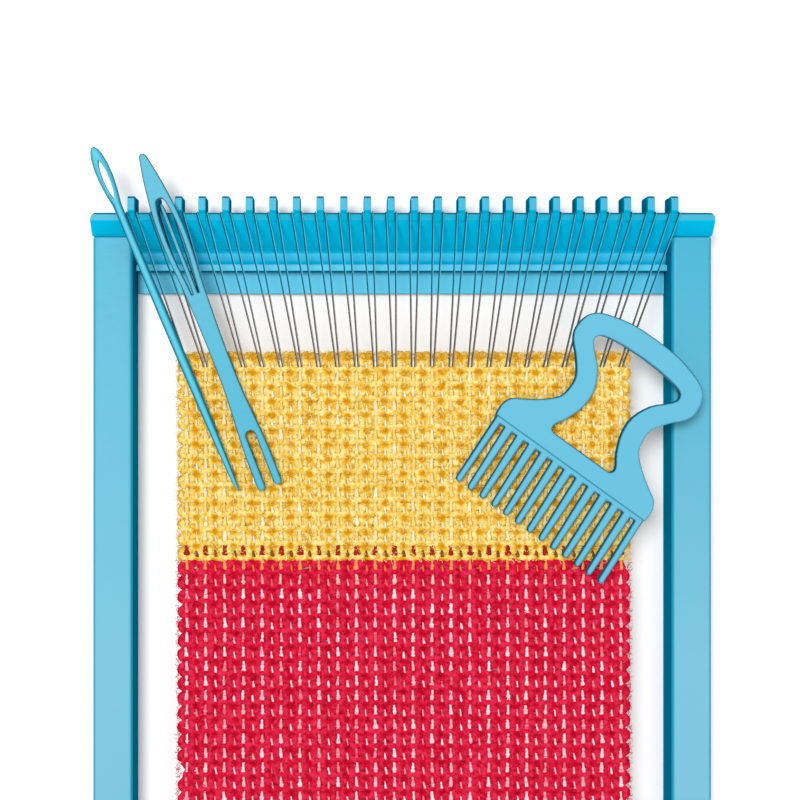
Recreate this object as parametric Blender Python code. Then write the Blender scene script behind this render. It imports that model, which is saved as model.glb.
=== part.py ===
"""A child's peg loom lying flat: two moulded peg beams, two side rails, one warp thread laced from
beam to beam, a strip of cloth woven on it, and the three hand tools resting on top.

Units are metres, +Z is up and the loom rests on z = 0. +X runs along the beams, +Y points to the
head beam. The origin is the middle of the whole set's footprint."""

import math

import bmesh
import bpy
import numpy as np
from mathutils import Matrix, Vector

MM = 0.001
GAP = 0.3 * MM  # clearance between neighbouring pieces

# Frame
FRAME_WIDTH = 265 * MM
FRAME_LENGTH = 370 * MM
HEAD_EDGE_Y = 175 * MM  # outer wall of the head beam
FOOT_EDGE_Y = HEAD_EDGE_Y - FRAME_LENGTH
WALL = 2.2 * MM
RIB_WALL = 1.8 * MM

# Side rails
RAIL_WIDTH = 17.2 * MM
RAIL_HEIGHT = 13 * MM
RAIL_EDGE_RADIUS = 1.9 * MM
RAIL_INSET = 10 * MM  # from a beam's outer wall to the rail's shoulder
TENON_REACH = 7 * MM  # how far a tenon goes into its socket
RAIL_BAYS = 6

# Peg beams; a depth is measured inwards from the outer wall
RIDGE_Z = 17.4 * MM
RIDGE_DEPTH = 3.4 * MM
RIDGE_RADIUS = 1.2 * MM
VALLEY_Z = 5.3 * MM
VALLEY_DEPTH = 17 * MM
BEAM_RIB_DEPTH = 20.8 * MM
BEAM_RIB_WIDTH = 2.9 * MM
BEAM_RIB_Z = 7.1 * MM
LEDGE_Z = 2.2 * MM
BEAM_DEPTH = 33 * MM
CAP_DEPTH = RAIL_INSET - GAP
CAP_CORNER_RADIUS = 2.6 * MM
CAP_FLARE = 0.4 * MM  # how much wider a cap is at its inner edge
CAP_FOOT_RADIUS = 1.2 * MM
BEAM_BAYS = 6

# Pegs
PEG_COUNT = 24
PEG_PITCH = 10 * MM
PEG_WIDTH = 3.1 * MM
PEG_REACH = 6.8 * MM
PEG_TOP_Z = 18.8 * MM
PEG_BOTTOM_Z = 8.4 * MM
PEG_EDGE = 0.5 * MM
FIN_RISE = 0.35 * MM  # how far a peg's fin stands above the ridge

# Warp
THREAD_RADIUS = 0.25 * MM
THREAD_CLEAR = GAP + THREAD_RADIUS
THREAD_OVER_Z = RIDGE_Z + 2 * FIN_RISE + THREAD_RADIUS + GAP / 3  # the thread's middle over the ridge
COLUMN_PITCH = 8 * MM  # spacing of the thread pairs in the cloth
PAIR_HALF = 0.85 * MM

# Cloth
CLOTH_WIDTH = 192 * MM
CLOTH_TOP_Z = 19.6 * MM
CLOTH_THICKNESS = 2.5 * MM
FELL_Y = HEAD_EDGE_Y - 59 * MM
COLOUR_CHANGE_Y = HEAD_EDGE_Y - 146.8 * MM
CLOTH_END_Y = HEAD_EDGE_Y - 325 * MM

# Tools
TOOL_Z = CLOTH_TOP_Z + GAP
NEEDLE_LENGTH = 156.5 * MM
NEEDLE_TIP = (-130.3 * MM, 201.4 * MM)
NEEDLE_TURN = math.radians(22.93)
SHUTTLE_LENGTH = 150.2 * MM
SHUTTLE_TIP = (-109.9 * MM, 198.7 * MM)
SHUTTLE_TURN = math.radians(21.2)
SHUTTLE_THICKNESS = 3 * MM
COMB_PLACE = (70.1 * MM, 67.3 * MM)
COMB_TURN = math.radians(-35.75)
COMB_THICKNESS = 3 * MM
TEETH_LEAN = 0.047  # how far the comb's teeth lean from square, as a slope
HANDLE_LEAN = 0.032
TOOTH_COUNT = 13
TOOTH_PITCH = 6.11 * MM
TOOTH_ROOT_WIDTH = 3.9 * MM
TOOTH_TIP_WIDTH = 2.8 * MM
TOOTH_LENGTH = 32.5 * MM
TOOTH_THICKNESS = 2.3 * MM
TOOL_EDGE = 0.6 * MM

BLUE = (0.095, 0.50, 0.72)
GREY = (0.13, 0.13, 0.13)
YELLOW = (0.90, 0.55, 0.07)
RED = (0.66, 0.01, 0.05)


def clear_scene():
    for old in list(bpy.data.objects):
        bpy.data.objects.remove(old)


def material(name, colour, roughness):
    made = bpy.data.materials.new(name)
    made.use_nodes = True
    shader = made.node_tree.nodes["Principled BSDF"]
    shader.inputs["Base Color"].default_value = (*colour, 1.0)
    shader.inputs["Roughness"].default_value = roughness
    shader.inputs["Metallic"].default_value = 0.0
    return made


def new_object(name, mesh):
    made = bpy.data.objects.new(name, mesh)
    bpy.context.scene.collection.objects.link(made)
    return made


def arc(centre, radius, start, end, steps):
    """Points on a circle, with the angles in degrees."""
    points = []
    for i in range(steps + 1):
        angle = math.radians(start + (end - start) * i / steps)
        points.append((centre[0] + radius * math.cos(angle), centre[1] + radius * math.sin(angle)))
    return points


def bezier(p0, p1, p2, p3, steps):
    """Points on a cubic curve, both ends included."""
    points = []
    for i in range(steps + 1):
        t = i / steps
        weights = ((1 - t) ** 3, 3 * t * (1 - t) ** 2, 3 * t * t * (1 - t), t**3)
        points.append(tuple(sum(w * p[k] for w, p in zip(weights, (p0, p1, p2, p3))) for k in (0, 1)))
    return points


def smooth_line(points, steps):
    """A Catmull-Rom curve through the points, both ends included."""
    knots = np.array([points[0], *points, points[-1]], dtype=float)
    made = []
    for i in range(1, len(knots) - 2):
        a, b, c, d = knots[i - 1 : i + 3]
        for step in range(steps):
            t = step / steps
            point = 2 * b + (c - a) * t + (2 * a - 5 * b + 4 * c - d) * t**2 + (3 * b - a - 3 * c + d) * t**3
            made.append(tuple(point / 2))
    made.append(tuple(knots[-1]))
    return made


def prism(name, outline, low, high, axis="Z"):
    """A solid with this outline, from low to high along the axis. Along X the outline is (y, z)."""
    mesh = bpy.data.meshes.new(name)
    bm = bmesh.new()
    if axis == "Z":
        corners = [bm.verts.new((x, y, low)) for x, y in outline]
        move = Vector((0, 0, high - low))
    else:
        corners = [bm.verts.new((low, y, z)) for y, z in outline]
        move = Vector((high - low, 0, 0))
    face = bm.faces.new(corners)
    raised = bmesh.ops.extrude_face_region(bm, geom=[face])["geom"]
    bmesh.ops.translate(bm, verts=[v for v in raised if isinstance(v, bmesh.types.BMVert)], vec=move)
    bmesh.ops.recalc_face_normals(bm, faces=bm.faces)
    bm.to_mesh(mesh)
    bm.free()
    return new_object(name, mesh)


def block(name, low, high):
    outline = [(low[0], low[1]), (high[0], low[1]), (high[0], high[1]), (low[0], high[1])]
    return prism(name, outline, low[2], high[2])


def join(pieces):
    """One object holding all these separate solids, which is the first of them."""
    bm = bmesh.new()
    for piece in pieces:
        bm.from_mesh(piece.data)
    bm.to_mesh(pieces[0].data)
    bm.free()
    for piece in pieces[1:]:
        bpy.data.objects.remove(piece)
    return pieces[0]


def bake_modifiers(target):
    graph = bpy.context.evaluated_depsgraph_get()
    shape = bpy.data.meshes.new_from_object(target.evaluated_get(graph), depsgraph=graph)
    target.modifiers.clear()
    target.data = shape


def combine(target, tool, operation):
    """The target after a Boolean with the tool, which is used up."""
    change = target.modifiers.new("combine", "BOOLEAN")
    change.operation = operation
    change.solver = "EXACT"
    change.object = tool
    bake_modifiers(target)
    bpy.data.objects.remove(tool)
    return target


def round_edges(target, width, segments):
    change = target.modifiers.new("round", "BEVEL")
    change.width = width
    change.segments = segments
    change.limit_method = "ANGLE"
    change.angle_limit = math.radians(50)
    bake_modifiers(target)
    return target


def beam_section():
    """The peg beam's skin as (y, z), from its outer foot over the ridge and the rib to the ledge."""
    ridge_curve = arc((-RIDGE_RADIUS, RIDGE_Z - RIDGE_RADIUS), RIDGE_RADIUS, 0, 90, 4)
    slope = bezier(
        (-RIDGE_DEPTH, RIDGE_Z),
        (-9.6 * MM, 16.4 * MM),
        (-12.4 * MM, 5.8 * MM),
        (-VALLEY_DEPTH, VALLEY_Z),
        9,
    )
    rib_end = BEAM_RIB_DEPTH + BEAM_RIB_WIDTH
    return [
        (0, 0),
        *ridge_curve,
        *slope,
        (-BEAM_RIB_DEPTH, VALLEY_Z),
        (-BEAM_RIB_DEPTH - 0.2 * MM, BEAM_RIB_Z),
        (-rib_end + 0.2 * MM, BEAM_RIB_Z),
        (-rib_end, LEDGE_Z),
        (-BEAM_DEPTH, LEDGE_Z),
        (-BEAM_DEPTH, 0),
    ]


def beam_plan():
    """The peg beam seen from above: full depth between the rails, and a shallow cap over each end."""
    half = FRAME_WIDTH / 2
    shoulder = half - RAIL_WIDTH - GAP
    radius = CAP_CORNER_RADIUS
    right = [(half - radius, PEG_REACH + 1 * MM)]
    right += arc((half - radius, -radius), radius, 90, 0, 6)
    foot = (half + CAP_FLARE - CAP_FOOT_RADIUS, CAP_FOOT_RADIUS - CAP_DEPTH)
    right += arc(foot, CAP_FOOT_RADIUS, 0, -90, 3)
    right += [(shoulder, -CAP_DEPTH), (shoulder, -BEAM_DEPTH - 1 * MM)]
    left = [(-x, y) for x, y in reversed(right)]
    return right + left


def beam_hollows():
    """The bays under the beam, with ribs between them, and the two sockets for the rails' tenons."""
    half = FRAME_WIDTH / 2
    section = [
        (-WALL, -1 * MM),
        (-WALL, 14.6 * MM),
        (-3.7 * MM, 15 * MM),
        (-7.4 * MM, 12.8 * MM),
        (-10.9 * MM, 8 * MM),
        (-14 * MM, 3.1 * MM),
        (-BEAM_RIB_DEPTH - 0.8 * MM, 3.1 * MM),
        (-BEAM_RIB_DEPTH - 0.8 * MM, -1 * MM),
    ]
    reach = half - RAIL_WIDTH - GAP - RIB_WALL
    bay = (2 * reach - (BEAM_BAYS - 1) * RIB_WALL) / BEAM_BAYS
    hollows = []
    for i in range(BEAM_BAYS):
        start = -reach + i * (bay + RIB_WALL)
        hollows.append(prism("hollow", section, start, start + bay, axis="X"))
    inner = half - RAIL_WIDTH + WALL - GAP
    outer = half - WALL + GAP
    for side in (-1, 1):
        low = min(side * inner, side * outer)
        high = max(side * inner, side * outer)
        top = RAIL_HEIGHT - WALL + GAP
        hollows.append(block("hollow", (low, -CAP_DEPTH - 1 * MM, -1 * MM), (high, -WALL, top)))
    return join(hollows)


def peg_x(i):
    return (i - (PEG_COUNT - 1) / 2) * PEG_PITCH


def peg_row():
    """The pegs, each a finger beyond the outer wall that runs on inwards as a low fin down the slope."""
    fin = bezier(
        (-RIDGE_DEPTH, RIDGE_Z + FIN_RISE),
        (-9.6 * MM, 17 * MM),
        (-12.6 * MM, 6.4 * MM),
        (-VALLEY_DEPTH + 0.3 * MM, VALLEY_Z - 0.3 * MM),
        7,
    )
    section = [
        (PEG_REACH, PEG_BOTTOM_Z + PEG_EDGE),
        (PEG_REACH, PEG_TOP_Z - PEG_EDGE),
        (PEG_REACH - PEG_EDGE, PEG_TOP_Z),
        (0.9 * MM, PEG_TOP_Z),
        (-0.4 * MM, RIDGE_Z + 2 * FIN_RISE),
        *fin,
        (-13.6 * MM, 5.6 * MM),
        (-8 * MM, 13.2 * MM),
        (-3.9 * MM, 16.2 * MM),
        (-1.1 * MM, 15.6 * MM),
        (-1.1 * MM, PEG_BOTTOM_Z),
        (PEG_REACH - PEG_EDGE, PEG_BOTTOM_Z),
    ]
    pegs = []
    for i in range(PEG_COUNT):
        left = peg_x(i) - PEG_WIDTH / 2
        pegs.append(prism("peg", section, left, left + PEG_WIDTH, axis="X"))
    return join(pegs)


def make_beams(plastic):
    """The two beams are one moulding: the foot beam is the head beam turned round."""
    half = FRAME_WIDTH / 2
    head = prism("head_beam", beam_section(), -half - 1 * MM, half + 1 * MM, axis="X")
    combine(head, peg_row(), "UNION")
    combine(head, prism("plan", beam_plan(), -1 * MM, PEG_TOP_Z + 1 * MM), "INTERSECT")
    combine(head, beam_hollows(), "DIFFERENCE")
    head.data.materials.clear()
    head.data.materials.append(plastic)
    head.location = (0, HEAD_EDGE_Y, 0)
    foot = new_object("foot_beam", head.data)
    foot.location = (0, FOOT_EDGE_Y, 0)
    foot.rotation_euler = (0, 0, math.pi)
    return head, foot


def rail_section():
    """The rail's outside across its width, with both top edges rounded."""
    half = RAIL_WIDTH / 2
    radius = RAIL_EDGE_RADIUS
    points = [(-half, 0), (half, 0)]
    points += arc((half - radius, RAIL_HEIGHT - radius), radius, 0, 90, 4)
    points += arc((-half + radius, RAIL_HEIGHT - radius), radius, 90, 180, 4)
    return points


def rail_hollows(length):
    """The bays under the rail, with cross ribs between them."""
    half = RAIL_WIDTH / 2 - WALL
    reach = length / 2 - WALL
    bay = (2 * reach - (RAIL_BAYS - 1) * RIB_WALL) / RAIL_BAYS
    hollows = []
    for i in range(RAIL_BAYS):
        start = -reach + i * (bay + RIB_WALL)
        low = (-half, start, -1 * MM)
        hollows.append(block("hollow", low, (half, start + bay, RAIL_HEIGHT - WALL)))
    return join(hollows)


def make_rails(plastic):
    """The two rails are one moulding, with a tenon at each end."""
    length = FRAME_LENGTH - 2 * RAIL_INSET
    rail = prism("left_rail", rail_section(), -length / 2, length / 2, axis="X")
    rail.data.transform(Matrix.Rotation(math.radians(90), 4, "Z"))
    combine(rail, rail_hollows(length), "DIFFERENCE")
    half = RAIL_WIDTH / 2 - WALL
    for end in (-1, 1):
        near = end * (length / 2 - WALL / 2)
        far = end * (length / 2 + TENON_REACH)
        low = (-half, min(near, far), 0)
        high = (half, max(near, far), RAIL_HEIGHT - WALL)
        combine(rail, block("tenon", low, high), "UNION")
    rail.data.materials.clear()
    rail.data.materials.append(plastic)
    side = FRAME_WIDTH / 2 - RAIL_WIDTH / 2
    middle = (HEAD_EDGE_Y + FOOT_EDGE_Y) / 2
    rail.location = (-side, middle, 0)
    right = new_object("right_rail", rail.data)
    right.location = (side, middle, 0)
    return rail, right


def column_x(i):
    return (i - (PEG_COUNT - 1) / 2) * COLUMN_PITCH


def hairpin(x, edge_y, outwards, first_side):
    """The thread's turn round one peg: over the ridge, down the outer wall, under the peg and back."""
    side_x = PEG_WIDTH / 2 + THREAD_CLEAR
    under_z = PEG_BOTTOM_Z - THREAD_CLEAR
    wall_y = edge_y + outwards * THREAD_CLEAR
    leg = [
        (side_x, edge_y - outwards * RIDGE_RADIUS / 2, THREAD_OVER_Z),
        (side_x, wall_y, THREAD_OVER_Z - RIDGE_RADIUS / 2),
        (side_x, wall_y, under_z + 0.7 * MM),
        (side_x - 0.7 * MM, wall_y, under_z),
    ]
    down = [(x + first_side * dx, y, z) for dx, y, z in leg]
    up = [(x - first_side * dx, y, z) for dx, y, z in reversed(leg)]
    return down + up


def warp_route():
    """One thread, laced from the first foot peg up and down the loom to the last foot peg."""
    under_z = CLOTH_TOP_Z - CLOTH_THICKNESS - THREAD_CLEAR
    first_foot = hairpin(peg_x(0) - 0.6 * MM, FOOT_EDGE_Y, -1, -1)
    route = [(x, y, z) for x, y, z in reversed(first_foot[:4])]
    route[0] = (route[0][0], route[0][1], route[0][2] - 0.9 * MM)
    for i in range(PEG_COUNT):
        left = column_x(i) - PAIR_HALF
        right = column_x(i) + PAIR_HALF
        route += [(left, CLOTH_END_Y, under_z), (left, FELL_Y, under_z)]
        route += hairpin(peg_x(i), HEAD_EDGE_Y, 1, -1)
        route += [(right, FELL_Y, under_z), (right, CLOTH_END_Y, under_z)]
        turn = hairpin(peg_x(i), FOOT_EDGE_Y, -1, -1)
        route += turn if i < PEG_COUNT - 1 else turn[:5]
    return route


def make_warp(cotton):
    curve = bpy.data.curves.new("warp_thread", "CURVE")
    curve.dimensions = "3D"
    curve.bevel_depth = THREAD_RADIUS
    curve.bevel_resolution = 0
    curve.use_fill_caps = True
    route = warp_route()
    spline = curve.splines.new("POLY")
    spline.points.add(len(route) - 1)
    for point, place in zip(spline.points, route):
        point.co = (*place, 1)
    curve.materials.append(cotton)
    return new_object("warp_thread", curve)


def make_cloth(yellow, red):
    """The woven strip as two plain slabs, one for each colour of weft."""
    half = CLOTH_WIDTH / 2
    low_z = CLOTH_TOP_Z - CLOTH_THICKNESS
    upper = block("yellow_weft", (-half, COLOUR_CHANGE_Y + GAP / 2, low_z), (half, FELL_Y, CLOTH_TOP_Z))
    lower = block("red_weft", (-half, CLOTH_END_Y, low_z), (half, COLOUR_CHANGE_Y - GAP / 2, CLOTH_TOP_Z))
    upper.data.materials.append(yellow)
    lower.data.materials.append(red)
    return upper, lower


def loft(name, stations):
    """A solid of oval rings along -Y. Each station is (distance, half width, half height)."""
    sides = 12
    mesh = bpy.data.meshes.new(name)
    bm = bmesh.new()
    rings = []
    for distance, half_width, half_height in stations:
        ring = []
        for i in range(sides):
            angle = 2 * math.pi * i / sides
            x = half_width * math.cos(angle)
            z = half_height * math.sin(angle)
            ring.append(bm.verts.new((x, -distance, z)))
        rings.append(ring)
    for above, below in zip(rings, rings[1:]):
        for i in range(sides):
            j = (i + 1) % sides
            bm.faces.new((above[i], above[j], below[j], below[i]))
    bm.faces.new(rings[0])
    bm.faces.new(list(reversed(rings[-1])))
    bmesh.ops.recalc_face_normals(bm, faces=bm.faces)
    bm.to_mesh(mesh)
    bm.free()
    return new_object(name, mesh)


def make_needle(plastic):
    """The weaving needle: a flattened head with a long eye, and a round shaft that tapers to a point."""
    flat = 1.25 * MM
    outline = [
        (0.0, 0.7, 0.7),
        (1.2, 1.7, 1.0),
        (3.5, 2.5, 1.25),
        (8.0, 3.2, 1.25),
        (14.0, 3.3, 1.25),
        (20.0, 2.8, 1.25),
        (26.0, 1.9, 1.4),
        (34.0, 1.75, 1.6),
        (50.0, 1.9, 1.75),
        (75.0, 2.1, 1.9),
        (100.0, 2.05, 1.85),
        (124.0, 1.75, 1.6),
        (138.0, 1.45, 1.35),
        (147.0, 1.2, 1.1),
        (153.4, 0.85, 0.8),
        (NEEDLE_LENGTH / MM, 0.3, 0.3),
    ]
    needle = loft("yarn_needle", [(y * MM, w * MM, h * MM) for y, w, h in outline])
    eye = [(0, -5.8 * MM), (0.9 * MM, -8.4 * MM), (1.4 * MM, -14 * MM), (1.0 * MM, -20 * MM), (0, -23.7 * MM)]
    eye = smooth_line(eye, 3)
    eye += [(-x, y) for x, y in reversed(eye[1:-1])]
    combine(needle, prism("eye", eye, -3 * flat, 3 * flat), "DIFFERENCE")
    place_tool(needle, NEEDLE_TIP, NEEDLE_TURN, TOOL_Z + 1.95 * MM, plastic)
    return needle


def place_tool(tool, tip, turn, height, plastic):
    tool.data.materials.clear()
    tool.data.materials.append(plastic)
    tool.location = (tip[0], tip[1], height)
    tool.rotation_euler = (0, 0, turn)


def mirrored(half_outline):
    """The closed outline whose right half runs from the axis back to the axis."""
    return half_outline + [(-x, y) for x, y in reversed(half_outline) if x > 0]


def make_shuttle(plastic):
    """The netting shuttle: a flat blade with a tongue in its window and a fork at its tail."""
    side = [(1.6, -1.4), (2.5, -6), (3.4, -11), (4.6, -20), (5.4, -29), (5.6, -38), (5.3, -47), (4.6, -57)]
    side += [(4.1, -68), (3.65, -82), (3.5, -97), (3.7, -108), (4.5, -120), (5.1, -130)]
    side += [(5.3, -138), (5.3, -146)]
    side = smooth_line([(x * MM, y * MM) for x, y in side], 2)
    prong = arc((3.65 * MM, -SHUTTLE_LENGTH + 1.9 * MM), 1.65 * MM, 0, -180, 6)
    slot = arc((0, -126.5 * MM), 2 * MM, 0, 90, 4)
    outline = [(0, 0), (1 * MM, -0.35 * MM), *side, *prong, *slot]
    blade = prism("netting_shuttle", mirrored(outline), 0, SHUTTLE_THICKNESS)
    window = [(0, -20.2), (1.4, -20.7), (2.2, -23), (3.1, -29), (3.4, -38), (2.9, -49)]
    window += [(2, -58), (1.7, -62.9)]
    window = smooth_line([(x * MM, y * MM) for x, y in window], 2)
    tongue = [(1, -62.9), (0.95, -50), (0.75, -35), (0.75, -25), (0.5, -22.9), (0, -22.3)]
    window += [(x * MM, y * MM) for x, y in tongue]
    combine(blade, prism("window", mirrored(window), -1 * MM, 2 * SHUTTLE_THICKNESS), "DIFFERENCE")
    round_edges(blade, TOOL_EDGE, 2)
    place_tool(blade, SHUTTLE_TIP, SHUTTLE_TURN, TOOL_Z, plastic)
    return blade


def comb_teeth():
    """The row of teeth, with a strip along their roots, as one outline."""
    half_row = TOOTH_PITCH * (TOOTH_COUNT - 1) / 2
    root = -2.6 * MM
    half_root = TOOTH_ROOT_WIDTH / 2
    radius = TOOTH_TIP_WIDTH / 2
    points = [(-half_row - radius, 2 * MM)]
    for i in range(TOOTH_COUNT):
        x = -half_row + i * TOOTH_PITCH
        points.append((x - (half_root if i else radius), root))
        points += arc((x, -TOOTH_LENGTH + radius), radius, 180, 360, 4)
        points.append((x + (half_root if i < TOOTH_COUNT - 1 else radius), root))
    points.append((half_row + radius, 2 * MM))
    return prism("teeth", points, 0, TOOTH_THICKNESS)


def lean(target, slope):
    """Shears it along x, in proportion to y."""
    target.data.transform(Matrix(((1, -slope, 0, 0), (0, 1, 0, 0), (0, 0, 1, 0), (0, 0, 0, 1))))


def make_comb(plastic):
    """The hand comb that beats the weft down: a waisted body, a loop handle and a row of teeth."""
    outer = [(38.5, 0), (38.7, 4.6), (36.8, 9), (31.5, 12.4), (25.2, 16.8), (20.2, 21.9), (19, 27.3)]
    outer += [(19.6, 32.4), (24, 38.7), (29.2, 44.2), (31, 49.2), (29.9, 55.5), (26.3, 59.5)]
    outer += [(19.4, 62.1), (10.5, 64), (0, 64.4)]
    outer = smooth_line([(x * MM, y * MM) for x, y in outer], 3)
    inner = [(0, 7.6), (10, 7.6), (14.2, 7.7), (15.8, 9.2), (15.2, 11.6), (12.6, 15.8)]
    inner += [(9.8, 23.8), (9.8, 32), (13.7, 40.3), (19.4, 46), (21.6, 49.6)]
    inner += [(19.4, 52.6), (10.8, 54.2), (0, 54.7)]
    inner = smooth_line([(x * MM, y * MM) for x, y in inner], 3)
    body = prism("hand_comb", mirrored([(0, -0.4 * MM), (38.5 * MM, -0.4 * MM), *outer]), 0, COMB_THICKNESS)
    combine(body, prism("grip", mirrored(inner), -1 * MM, 2 * COMB_THICKNESS), "DIFFERENCE")
    round_edges(body, TOOL_EDGE, 2)
    teeth = comb_teeth()
    teeth.data.transform(Matrix.Translation((0, 0, (COMB_THICKNESS - TOOTH_THICKNESS) / 2)))
    round_edges(teeth, TOOL_EDGE, 1)
    lean(teeth, TEETH_LEAN)
    lean(body, HANDLE_LEAN)
    combine(body, teeth, "UNION")
    place_tool(body, COMB_PLACE, COMB_TURN, TOOL_Z, plastic)
    return body


def shade(objects):
    for made in objects:
        if made.type == "MESH":
            made.data.shade_smooth()
            made.data.set_sharp_from_angle(angle=math.radians(35))


def main():
    clear_scene()
    plastic = material("blue_plastic", BLUE, 0.42)
    tool_plastic = material("tool_plastic", BLUE, 0.42)
    cotton = material("warp_cotton", GREY, 0.85)
    yellow = material("yellow_yarn", YELLOW, 0.95)
    red = material("red_yarn", RED, 0.95)
    made = [*make_beams(plastic), *make_rails(plastic), make_warp(cotton), *make_cloth(yellow, red)]
    made += [make_needle(tool_plastic), make_shuttle(tool_plastic), make_comb(tool_plastic)]
    shade(made)


main()
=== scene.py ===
import math

import bmesh
import bpy
import numpy as np
from mathutils import Matrix, Vector


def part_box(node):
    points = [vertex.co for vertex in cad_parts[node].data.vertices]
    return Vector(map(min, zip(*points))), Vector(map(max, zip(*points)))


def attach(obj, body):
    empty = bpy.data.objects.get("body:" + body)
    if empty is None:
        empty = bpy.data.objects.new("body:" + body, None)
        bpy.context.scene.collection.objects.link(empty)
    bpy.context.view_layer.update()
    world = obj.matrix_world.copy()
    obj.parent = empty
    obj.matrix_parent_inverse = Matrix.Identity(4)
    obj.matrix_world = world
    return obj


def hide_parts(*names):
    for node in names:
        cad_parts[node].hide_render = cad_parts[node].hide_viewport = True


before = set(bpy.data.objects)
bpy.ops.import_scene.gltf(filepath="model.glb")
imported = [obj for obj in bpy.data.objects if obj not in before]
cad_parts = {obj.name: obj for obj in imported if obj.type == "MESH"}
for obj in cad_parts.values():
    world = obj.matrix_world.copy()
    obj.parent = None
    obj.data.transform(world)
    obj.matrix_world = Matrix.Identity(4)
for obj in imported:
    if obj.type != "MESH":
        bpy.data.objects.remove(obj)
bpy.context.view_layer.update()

MM = 0.001

PEG_REACH = 6.8 * MM  # how far a peg stands out from its beam's outer wall

# Places read from the frame
HEAD_EDGE_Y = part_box("head_beam")[1].y - PEG_REACH  # outer wall of the head beam
FOOT_EDGE_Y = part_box("foot_beam")[0].y + PEG_REACH
CLOTH_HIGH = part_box("yellow_weft")[1]
FELL_Y = CLOTH_HIGH.y
CLOTH_END_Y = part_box("red_weft")[0].y
CLOTH_TOP_Z = CLOTH_HIGH.z
HALF_CLOTH = CLOTH_HIGH.x

# Peg beams; a depth is measured inwards from the outer wall
RIDGE_Z = 17.4 * MM
VALLEY_Z = 5.3 * MM
RIB_DEPTH = 20.8 * MM
RIB_Z = 7.1 * MM
LEDGE_Z = 2.2 * MM
BEAM_DEPTH = 33 * MM
CAP_DEPTH = 9.7 * MM
HALF_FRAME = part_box("right_rail")[1].x
RAIL_GAP = 0.3 * MM  # left between a beam and a rail
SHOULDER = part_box("right_rail")[0].x - RAIL_GAP
BAY_COUNT = 6  # the hollows under a beam
PEG_COUNT = 24
PEG_PITCH = 10 * MM
PEG_WIDTH = 3.1 * MM
PEG_TOP_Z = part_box("head_beam")[1].z
PEG_BOTTOM_Z = 8.4 * MM

# Warp
COLUMN_PITCH = 7.965 * MM
COLUMN_SHIFT = 0.35 * MM
PAIR_HALF = 0.68 * MM
THREAD_RADIUS = 0.45 * MM

# Weave: picks are numbered from the fell. The odd ones dive under the pale ends on the thread
# pairs, the even ones pass over them
PICK = 3.055 * MM
YELLOW_PICKS = 29
RED_PICKS = 58
PICK_SIDES = 10
YARN_HALF_WIDTH = 1.85 * MM
YARN_HALF_HEIGHT = 0.75 * MM
WEAVE_Z = CLOTH_TOP_Z - 0.9 * MM  # the yarn's middle
YARN_LIMIT_Z = CLOTH_TOP_Z + 0.2 * MM  # just under the tools that lie on the cloth
END_SIDES = 6  # of the pale ends' tubes
STRAND_COUNT = 5400  # loose fibres on each colour

CAMERA_PLACE = (-24.5 * MM, HEAD_EDGE_Y - 80.8 * MM, 488 * MM)
LENS_SHIFT = (0.06875, 0.00375)  # parts of the picture's width

BLACK = (0, 0, 0, 1)
WHITE = (1, 1, 1, 1)


def peg_x(i):
    return (i - (PEG_COUNT - 1) / 2) * PEG_PITCH


def column_x(i):
    """The middle of a thread pair in the cloth."""
    return (i - (PEG_COUNT - 1) / 2) * COLUMN_PITCH + COLUMN_SHIFT


def pick_y(k):
    return FELL_Y - (k + 0.5) * PICK


def srgb(red, green, blue):
    """A linear colour from 8-bit screen values."""
    made = []
    for value in (red, green, blue):
        part = value / 255
        made.append(part / 12.92 if part <= 0.04045 else ((part + 0.055) / 1.055) ** 2.4)
    return (*made, 1.0)


# ---------------------------------------------------------------- camera, floor and light


def make_camera():
    """Straight above the work, left of the loom's middle, with the frame centred by lens shift."""
    data = bpy.data.cameras.new("camera")
    data.sensor_width = 36
    data.lens = 49.98
    data.shift_x, data.shift_y = LENS_SHIFT
    data.clip_start = 0.01
    data.clip_end = 10
    camera = bpy.data.objects.new("camera", data)
    camera.location = CAMERA_PLACE
    bpy.context.scene.collection.objects.link(camera)
    bpy.context.scene.camera = camera


def make_light(name, place, size, power):
    data = bpy.data.lights.new(name, "AREA")
    data.shape = "DISK"
    data.size = size
    data.energy = power
    lamp = bpy.data.objects.new(name, data)
    lamp.location = place
    target = Vector((0, 0.02, 0))
    lamp.rotation_euler = (target - Vector(place)).to_track_quat("-Z", "Y").to_euler()
    bpy.context.scene.collection.objects.link(lamp)


def make_studio():
    """A white floor that glows a little, a white sky and two lamps."""
    mesh = bpy.data.meshes.new("floor")
    reach = 3.0
    mesh.from_pydata(
        [(-reach, -reach, 0), (reach, -reach, 0), (reach, reach, 0), (-reach, reach, 0)], [], [(0, 1, 2, 3)]
    )
    floor = bpy.data.objects.new("floor", mesh)
    floor.location.z = -0.2 * MM
    bpy.context.scene.collection.objects.link(floor)
    paint = bpy.data.materials.new("floor_paint")
    paint.use_nodes = True
    shader = paint.node_tree.nodes["Principled BSDF"]
    shader.inputs["Base Color"].default_value = (0.95, 0.95, 0.95, 1)
    shader.inputs["Roughness"].default_value = 0.9
    shader.inputs["Emission Color"].default_value = WHITE
    shader.inputs["Emission Strength"].default_value = 0.18
    mesh.materials.append(paint)
    world = bpy.data.worlds.new("sky")
    world.use_nodes = True
    sky = world.node_tree.nodes["Background"]
    sky.inputs["Color"].default_value = WHITE
    sky.inputs["Strength"].default_value = 0.46
    bpy.context.scene.world = world
    make_light("key", (-0.63, 0.63, 2.02), size=0.9, power=30)
    make_light("fill", (0.9, -0.7, 1.3), size=1.4, power=4)
    bpy.context.scene.view_settings.view_transform = "Standard"


# ---------------------------------------------------------------- materials


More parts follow.
